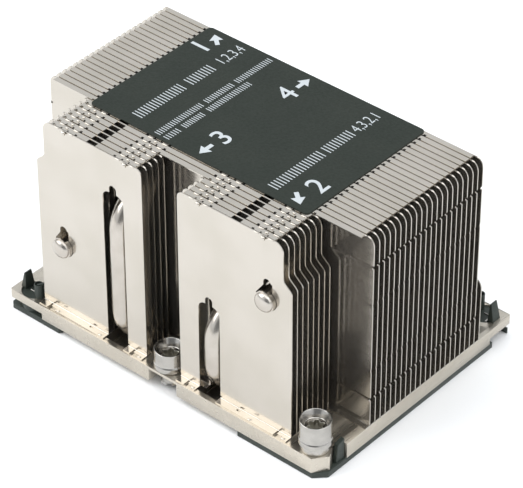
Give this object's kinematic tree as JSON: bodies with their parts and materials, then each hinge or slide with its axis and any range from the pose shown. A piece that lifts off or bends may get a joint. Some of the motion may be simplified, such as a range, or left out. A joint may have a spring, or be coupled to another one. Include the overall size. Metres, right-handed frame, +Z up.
{
  "type": "passive processor heatsink",
  "caption": "Passive server processor heatsink: stack of interlocked folded fins on a metal base, with bent heat pipes, captive nuts and a clip-on plastic processor carrier.",
  "frame": {"origin": "middle of the footprint, on the plane the processor carrier stands on", "axes": "+X along the long side of the base, +Y across the stack of fins towards the low fins, +Z up"},
  "size_m": [0.108, 0.078, 0.0663],
  "materials": {
    "fin_sheet": "bright rolled aluminium sheet, 0.4 mm",
    "base_metal": "milled and plated, satin",
    "plated_pipe": "nickel-plated copper tube",
    "nut_steel": "zinc-plated turned steel",
    "sleeve_steel": "plain turned steel",
    "carrier_plastic": "glass-filled black plastic, fine moulded texture",
    "plate_film": "printed polyester film with a fine leathery grain"
  },
  "bodies": {
    "heatsink": {"base_plate": "base_metal", "corner_sleeves": "sleeve_steel", "fin_01_left": "fin_sheet", "fin_01_right": "fin_sheet", "fin_02_left": "fin_sheet", "fin_02_right": "fin_sheet", "fin_03_left": "fin_sheet", "fin_03_right": "fin_sheet", "fin_04_left": "fin_sheet", "fin_04_right": "fin_sheet", "fin_05_left": "fin_sheet", "fin_05_right": "fin_sheet", "fin_06": "fin_sheet", "fin_07": "fin_sheet", "fin_08": "fin_sheet", "fin_09": "fin_sheet", "fin_10": "fin_sheet", "fin_11": "fin_sheet", "fin_12": "fin_sheet", "fin_13": "fin_sheet", "fin_14": "fin_sheet", "fin_15": "fin_sheet", "fin_16": "fin_sheet", "fin_17": "fin_sheet", "fin_18": "fin_sheet", "fin_19": "fin_sheet", "fin_20": "fin_sheet", "fin_21": "fin_sheet", "fin_22": "fin_sheet", "fin_23": "fin_sheet", "fin_24": "fin_sheet", "fin_25": "fin_sheet", "fin_26": "fin_sheet", "fin_27": "fin_sheet", "fin_28": "fin_sheet", "fin_29": "fin_sheet", "fin_30": "fin_sheet", "fin_31": "fin_sheet", "fin_32": "fin_sheet", "fin_33_left": "fin_sheet", "fin_33_right": "fin_sheet", "fin_34_left": "fin_sheet", "fin_34_right": "fin_sheet", "fin_35_left": "fin_sheet", "fin_35_right": "fin_sheet", "fin_36_left": "fin_sheet", "fin_36_right": "fin_sheet", "fin_37_left": "fin_sheet", "fin_37_right": "fin_sheet", "heat_pipe_1": "plated_pipe", "heat_pipe_2": "plated_pipe", "heat_pipe_3": "plated_pipe", "heat_pipe_4": "plated_pipe", "instruction_plate": "plate_film", "processor_carrier": "carrier_plastic"},
    "nut_1": {"captive_nut_1": "nut_steel"},
    "nut_2": {"captive_nut_2": "nut_steel"},
    "nut_3": {"captive_nut_3": "nut_steel"},
    "nut_4": {"captive_nut_4": "nut_steel"}
  },
  "joints": [
    {"name": "nut_1_turn", "type": "hinge", "parent": "heatsink", "child": "nut_1", "pos_m": [-0.0486, 0.0347, 0.0098], "axis": [0, 0, 1], "continuous": true},
    {"name": "nut_2_turn", "type": "hinge", "parent": "heatsink", "child": "nut_2", "pos_m": [0.0486, -0.0347, 0.0098], "axis": [0, 0, 1], "continuous": true},
    {"name": "nut_3_turn", "type": "hinge", "parent": "heatsink", "child": "nut_3", "pos_m": [-0.0003, -0.0347, 0.0064], "axis": [0, 0, 1], "continuous": true},
    {"name": "nut_4_turn", "type": "hinge", "parent": "heatsink", "child": "nut_4", "pos_m": [0.0003, 0.0347, 0.0064], "axis": [0, 0, 1], "continuous": true}
  ]
}
